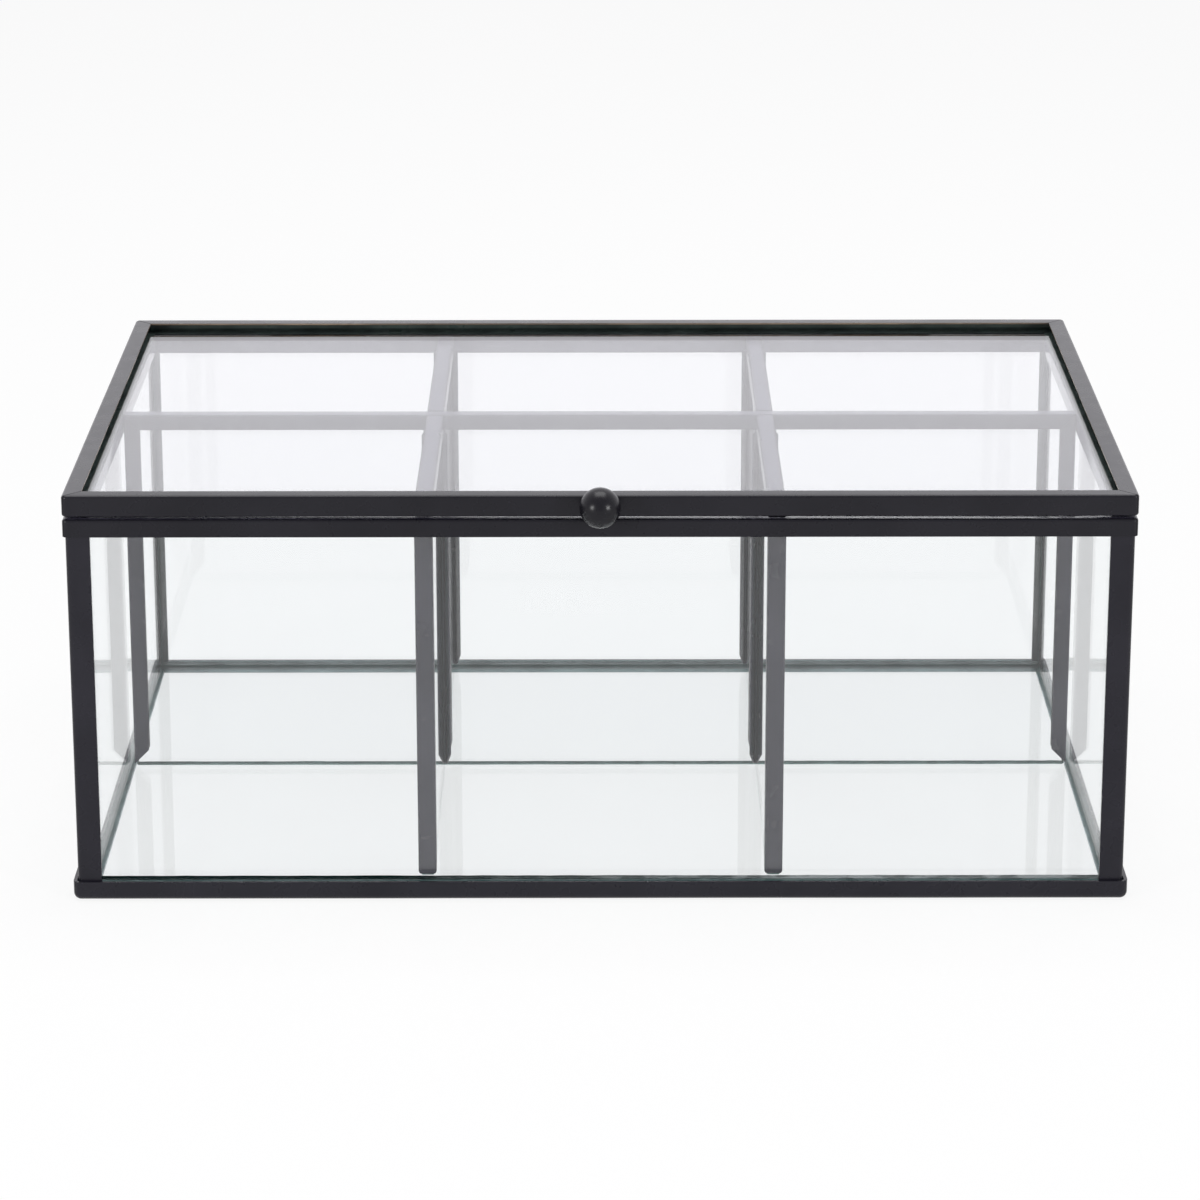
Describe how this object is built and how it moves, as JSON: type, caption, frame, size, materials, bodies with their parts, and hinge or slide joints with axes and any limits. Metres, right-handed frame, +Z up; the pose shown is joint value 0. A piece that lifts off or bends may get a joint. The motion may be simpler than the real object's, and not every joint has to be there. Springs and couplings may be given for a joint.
{
  "type": "tea bag organizer box",
  "caption": "Rectangular clear glass box in a folded black metal frame, with glass dividers making a grid of tea bag compartments and a hinged glass lid with a ball knob.",
  "frame": {"origin": "on the table plane, under the middle of the whole box with its knob and hinges", "axes": "+X to the right along the long side, -Y towards the knob side, +Z up"},
  "size_m": [0.231, 0.1718, 0.0949],
  "materials": {
    "black_metal": "fine matt black powder coat on folded sheet",
    "clear_glass": "clear float glass with green cut edges",
    "steel": "plain drawn wire",
    "clear_silicone": "clear soft pad"
  },
  "bodies": {
    "box": {"base_rail_front": "black_metal", "base_rail_right": "black_metal", "base_rail_back": "black_metal", "base_rail_left": "black_metal", "corner_post_front_left": "black_metal", "corner_post_front_right": "black_metal", "corner_post_back_left": "black_metal", "corner_post_back_right": "black_metal", "rim_front": "black_metal", "rim_right": "black_metal", "rim_back": "black_metal", "rim_left": "black_metal", "wall_pane_front": "clear_glass", "wall_pane_back": "clear_glass", "wall_pane_left": "clear_glass", "wall_pane_right": "clear_glass", "floor_pane": "clear_glass", "long_divider_pane": "clear_glass", "long_divider_cap": "black_metal", "long_divider_end_left": "black_metal", "long_divider_end_right": "black_metal", "cross_pane_left_front": "clear_glass", "cross_pane_right_front": "clear_glass", "cross_pane_left_back": "clear_glass", "cross_pane_right_back": "clear_glass", "cross_cap_left_front": "black_metal", "cross_cap_right_front": "black_metal", "cross_cap_left_back": "black_metal", "cross_cap_right_back": "black_metal", "channel_front_left": "black_metal", "channel_front_right": "black_metal", "channel_mid_front_left": "black_metal", "channel_mid_front_right": "black_metal", "channel_mid_back_left": "black_metal", "channel_mid_back_right": "black_metal", "channel_back_left": "black_metal", "channel_back_right": "black_metal", "hinge_leaf_box_left": "black_metal", "hinge_leaf_box_right": "black_metal", "hinge_pin_left": "steel", "hinge_pin_right": "steel", "rim_bumpers": "clear_silicone"},
    "lid": {"lid_rail_front": "black_metal", "lid_rail_right": "black_metal", "lid_rail_back": "black_metal", "lid_rail_left": "black_metal", "lid_pane": "clear_glass", "hinge_leaf_lid_left": "black_metal", "hinge_leaf_lid_right": "black_metal", "knob": "black_metal", "knob_rivet": "steel"}
  },
  "joints": [
    {"name": "lid_hinge", "type": "hinge", "parent": "box", "child": "lid", "pos_m": [0, 0.08453, 0.087], "axis": [-1, 0, 0], "range_deg": [0, 110]}
  ]
}
